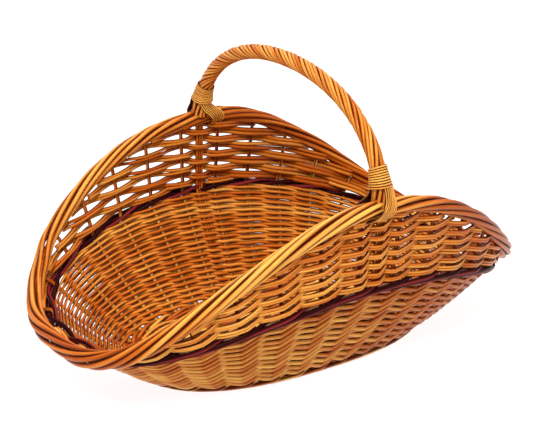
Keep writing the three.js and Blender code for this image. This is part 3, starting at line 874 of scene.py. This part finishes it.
class CARRIER_OT_handle(bpy.types.Operator):
    """Bent bow with rods laid round it like a rope"""

    bl_idname = "carrier.handle"
    bl_label = "Handle"

    def execute(self, context):
        shape, rods, finish = settings(context)
        core = RodMesh(17)
        arch = bow_path(shape, np.linspace(0, 1, 80))[0]
        core.add(arch, (1, 0, 0), rods.bow_radius, sides=12, tone=0.2)
        leg = wall_point(shape, TAU / 4, np.linspace(*BOW_LEG_RISES, 30))
        for side in (1, -1):
            for place in (-1, 0, 1):
                path = leg * (0, side, 1) + (place * BOW_LEG_ROD_SPACING, 0, 0)
                core.add(path, (0, side, 0), BOW_LEG_ROD_RADIUS)
        core.build("handle_bow_rods", red_willow(finish), ["handle_bow"])

        mesh = RodMesh(18)
        share = np.linspace(0, 1, 280)
        path, across, beside, whole = bow_path(shape, share)
        pitch = np.interp(share, *ROPING_PITCH)
        twist = np.concatenate([[0], np.cumsum(np.diff(share) * whole / pitch[1:])])
        over_foot = np.minimum(share, 1 - share) * whole
        flare = rods.foot_flare * np.clip(1 - over_foot / FOOT_FLARE_HEIGHT, 0, 1)
        spread = rods.bow_radius + rods.strand_radius * ROPING_SEAT + flare
        for strand in range(rods.strands):
            turn = TAU * (twist + strand / rods.strands) + 0.08 * np.sin(TAU * 3 * share + strand * 2.1)
            offset = across * np.cos(turn)[:, None] + beside * np.sin(turn)[:, None]
            radius = rods.strand_radius * mesh.random.uniform(0.96, 1.06)
            tone = mesh.random.uniform(0.3, 0.62)
            mesh.add(path + offset * spread[:, None], offset, radius, tone=tone, bundled=True)
        mesh.build("handle_strands", laid_willow(finish), ["handle_roping"])
        return {"FINISHED"}


class CARRIER_OT_bindings(bpy.types.Operator):
    """Split willow wound round each foot of the handle, and lashed on over the border"""

    bl_idname = "carrier.bindings"
    bl_label = "Bindings"

    def execute(self, context):
        shape, rods, finish = settings(context)
        skein = pale_skein(finish)
        for seed, side, sign in ((19, "back", 1), (20, "front", -1)):
            mesh = RodMesh(seed)
            self.wind(mesh, shape, rods, sign)
            mesh.build("handle_binding_turns_" + side, skein, ["handle_binding_" + side])
            fan = RodMesh(seed + 10)
            self.lash(fan, rods, rim_point(shape, np.array(sign * TAU / 4)), sign)
            fan.build("handle_lashing_fan_" + side, skein, ["handle_lashing_" + side])
        return {"FINISHED"}

    def wind(self, mesh, shape, rods, sign):
        """Turns that lie side by side up the foot of the handle, wider where its strands flare"""
        points_per_turn = 28
        wound = np.linspace(0, 1, rods.binding_turns * points_per_turn)
        run = rods.binding_height + wound * rods.binding_turns * rods.binding_pitch
        whole = bow_path(shape, np.array([0.0, 1.0]))[3]
        share = run / whole if sign > 0 else 1 - run / whole
        path, across, beside, _ = bow_path(shape, share)
        turn = sign * TAU * rods.binding_turns * wound
        offset = across * np.cos(turn)[:, None] + beside * np.sin(turn)[:, None]
        outer = rods.bow_radius + 2 * rods.strand_radius
        reach = outer + BINDING_SEAT + BINDING_FOOT_SPREAD * (1 - wound) ** 1.5
        path = path + offset * reach[:, None]
        mesh.add(path, offset, BINDING_RADIUS, flat=BINDING_FLAT, tone=SKEIN_TONE, bundled=True)

    def lash(self, fan, rods, middle, sign):
        """Flat band from the binding down outside the border, under it beside the bow and up again inside"""
        line = rounded(np.array(LASHING_ROUTE) * MM, number=90)
        along = unit(np.gradient(line, axis=0))
        high = np.clip(line[:, 2] / LASHING_TURN_HEIGHT, 0, 1)[:, None]
        round_border = line * (0, 1, 1)
        round_handle = (line + HANDLE_OUT) * (0.6, 1, 0)
        out = unit(round_border * (1 - high) + round_handle * high)
        beside = np.cross(along, out)
        mirror = (-sign, sign, 1)
        for strand in range(rods.fan_strands):
            place = (strand - (rods.fan_strands - 1) / 2) * rods.fan_spacing
            wrap = high * place**2 / LASHING_WRAP_RADIUS
            path = line + beside * place * (1 + LASHING_LOW_SPREAD * (1 - high)) - out * wrap
            path = middle + path * mirror
            fan.add(path, out * mirror, LASHING_RADIUS, flat=LASHING_FLAT, tone=SKEIN_TONE, bundled=True)


class CARRIER_OT_base(bpy.types.Operator):
    """Oval mat woven over and under the base sticks, which cross each other in the middle"""

    bl_idname = "carrier.base"
    bl_label = "Base"

    def execute(self, context):
        shape, _, finish = settings(context)
        sticks = RodMesh(21)
        for node in STICK_NODES:
            low, high = (np.array(corner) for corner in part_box(node))
            axis = 0 if "long" in node else 1
            middle = (low + high) / 2
            ends = np.array([middle, middle])
            ends[0, axis], ends[1, axis] = low[axis], high[axis]
            path = ends[0] + (ends[1] - ends[0]) * np.linspace(0, 1, 12)[:, None]
            sticks.add(path, (0, 0, 1), (high - low)[2] / 2, sides=10)
        sticks.build("base_sticks", red_willow(finish), STICK_NODES)

        mesh = RodMesh(22)
        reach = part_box("base_weave")[1]
        steps = 256
        share = np.arange(steps) / steps
        angle = even_angle(shape, share)
        half_height = shape.base_thickness / 2
        swing = half_height - MAT_ROD_RADIUS - MAT_CLEARANCE
        for ring in range(1, MAT_RINGS + 2):
            half_width = (reach[1] - MAT_ROD_RADIUS) * ring / MAT_RINGS
            half_length = reach[0] - reach[1] + half_width
            height = half_height + swing * np.cos(TAU * MAT_WAVES * share + math.pi * ring)
            path = oval(half_length, half_width, shape.base_power, angle, height)
            mesh.add(path, (0, 0, 1), MAT_ROD_RADIUS, closed=True)
        mesh.build("base_weave_rods", golden_willow(finish), ["base_weave"])
        return {"FINISHED"}


class CARRIER_OT_stage(bpy.types.Operator):
    """Pale floor, soft light and the camera"""

    bl_idname = "carrier.stage"
    bl_label = "Stage"

    def execute(self, context):
        finish = context.scene.carrier_finish
        mesh = bpy.data.meshes.new("floor")
        half = FLOOR_HALF_SIZE
        corners = [(-half, -half, 0), (half, -half, 0), (half, half, 0), (-half, half, 0)]
        mesh.from_pydata(corners, [], [(0, 1, 2, 3)])
        floor = bpy.data.objects.new("floor", mesh)
        context.scene.collection.objects.link(floor)
        paint = bpy.data.materials.new("Studio floor")
        paint.use_nodes = True
        shader = paint.node_tree.nodes["Principled BSDF"].inputs
        shader["Base Color"].default_value = (*finish.floor, 1)
        shader["Roughness"].default_value = 0.9
        shader["Emission Color"].default_value = (1, 1, 1, 1)
        shader["Emission Strength"].default_value = FLOOR_GLOW
        mesh.materials.append(paint)

        world = bpy.data.worlds.new("Studio")
        world.use_nodes = True
        background = world.node_tree.nodes["Background"].inputs
        background["Color"].default_value = (1, 1, 1, 1)
        background["Strength"].default_value = WORLD_STRENGTH
        context.scene.world = world

        for name, place, size, watts in (
            ("key_light", (-1.4, -1.3, 2.4), 0.8, 72),
            ("top_light", (0.1, 0.1, 2.6), 1.2, 40),
            ("fill_light", (1.8, -1.2, 1.4), 1.6, 5),
            ("back_light", (0.6, 1.8, 1.9), 1.2, 12),
        ):
            data = bpy.data.lights.new(name, "AREA")
            data.size = size
            data.energy = watts
            light = bpy.data.objects.new(name, data)
            light.location = place
            light.rotation_mode = "QUATERNION"
            light.rotation_quaternion = (LIGHT_TARGET - Vector(place)).to_track_quat("-Z", "Y")
            context.scene.collection.objects.link(light)

        context.scene.view_settings.view_transform = "Standard"
        place_camera(context.scene)
        return {"FINISHED"}


def place_camera(scene):
    """Camera at the photograph's viewing angle, found by fitting the rim, wale, handle and outline"""
    azimuth, elevation, roll = math.radians(-37.5), math.radians(22.03), math.radians(-2.88)
    distance, target = 1.8104, Vector((0, 0, 0.161))
    focal_px, middle_px = 1551.9, (281.4, 212.28)
    level = math.cos(elevation)
    back = Vector((math.sin(azimuth) * level, -math.cos(azimuth) * level, math.sin(elevation)))
    right = Vector((math.cos(azimuth), math.sin(azimuth), 0))
    up = back.cross(right)
    across = right * math.cos(roll) - up * math.sin(roll)
    above = right * math.sin(roll) + up * math.cos(roll)
    data = bpy.data.cameras.new("camera")
    data.sensor_width = 36
    data.lens = focal_px / PHOTO_WIDTH * data.sensor_width
    data.shift_x = (PHOTO_WIDTH / 2 - middle_px[0]) / PHOTO_WIDTH
    data.shift_y = (middle_px[1] - PHOTO_HEIGHT / 2) / PHOTO_WIDTH
    camera = bpy.data.objects.new("camera", data)
    turn = Matrix((across, above, back)).transposed().to_4x4()
    camera.matrix_world = Matrix.Translation(target + back * distance) @ turn
    scene.collection.objects.link(camera)
    scene.camera = camera


OPERATORS = (
    CARRIER_OT_stage,
    CARRIER_OT_base,
    CARRIER_OT_stakes,
    CARRIER_OT_lower_weave,
    CARRIER_OT_dark_wale,
    CARRIER_OT_upper_weave,
    CARRIER_OT_border,
    CARRIER_OT_handle,
    CARRIER_OT_bindings,
)


class CARRIER_PT_panel(bpy.types.Panel):
    """Lists the pieces of the log carrier"""

    bl_idname = "CARRIER_PT_panel"
    bl_label = "Log carrier"
    bl_space_type = "VIEW_3D"
    bl_region_type = "UI"
    bl_category = "Log carrier"

    def draw(self, context):
        for operator in OPERATORS:
            self.layout.operator(operator.bl_idname)
        for group in settings(context):
            for name in group.__annotations__:
                self.layout.prop(group, name)


CLASSES = (CarrierShape, CarrierRods, CarrierFinish, *OPERATORS, CARRIER_PT_panel)


def register():
    for cls in CLASSES:
        bpy.utils.register_class(cls)
    bpy.types.Scene.carrier_shape = PointerProperty(type=CarrierShape)
    bpy.types.Scene.carrier_rods = PointerProperty(type=CarrierRods)
    bpy.types.Scene.carrier_finish = PointerProperty(type=CarrierFinish)


def unregister():
    del bpy.types.Scene.carrier_finish
    del bpy.types.Scene.carrier_rods
    del bpy.types.Scene.carrier_shape
    for cls in reversed(CLASSES):
        bpy.utils.unregister_class(cls)


def main():
    register()
    for operator in OPERATORS:
        group, name = operator.bl_idname.split(".")
        getattr(getattr(bpy.ops, group), name)()


if __name__ == "__main__":
    main()
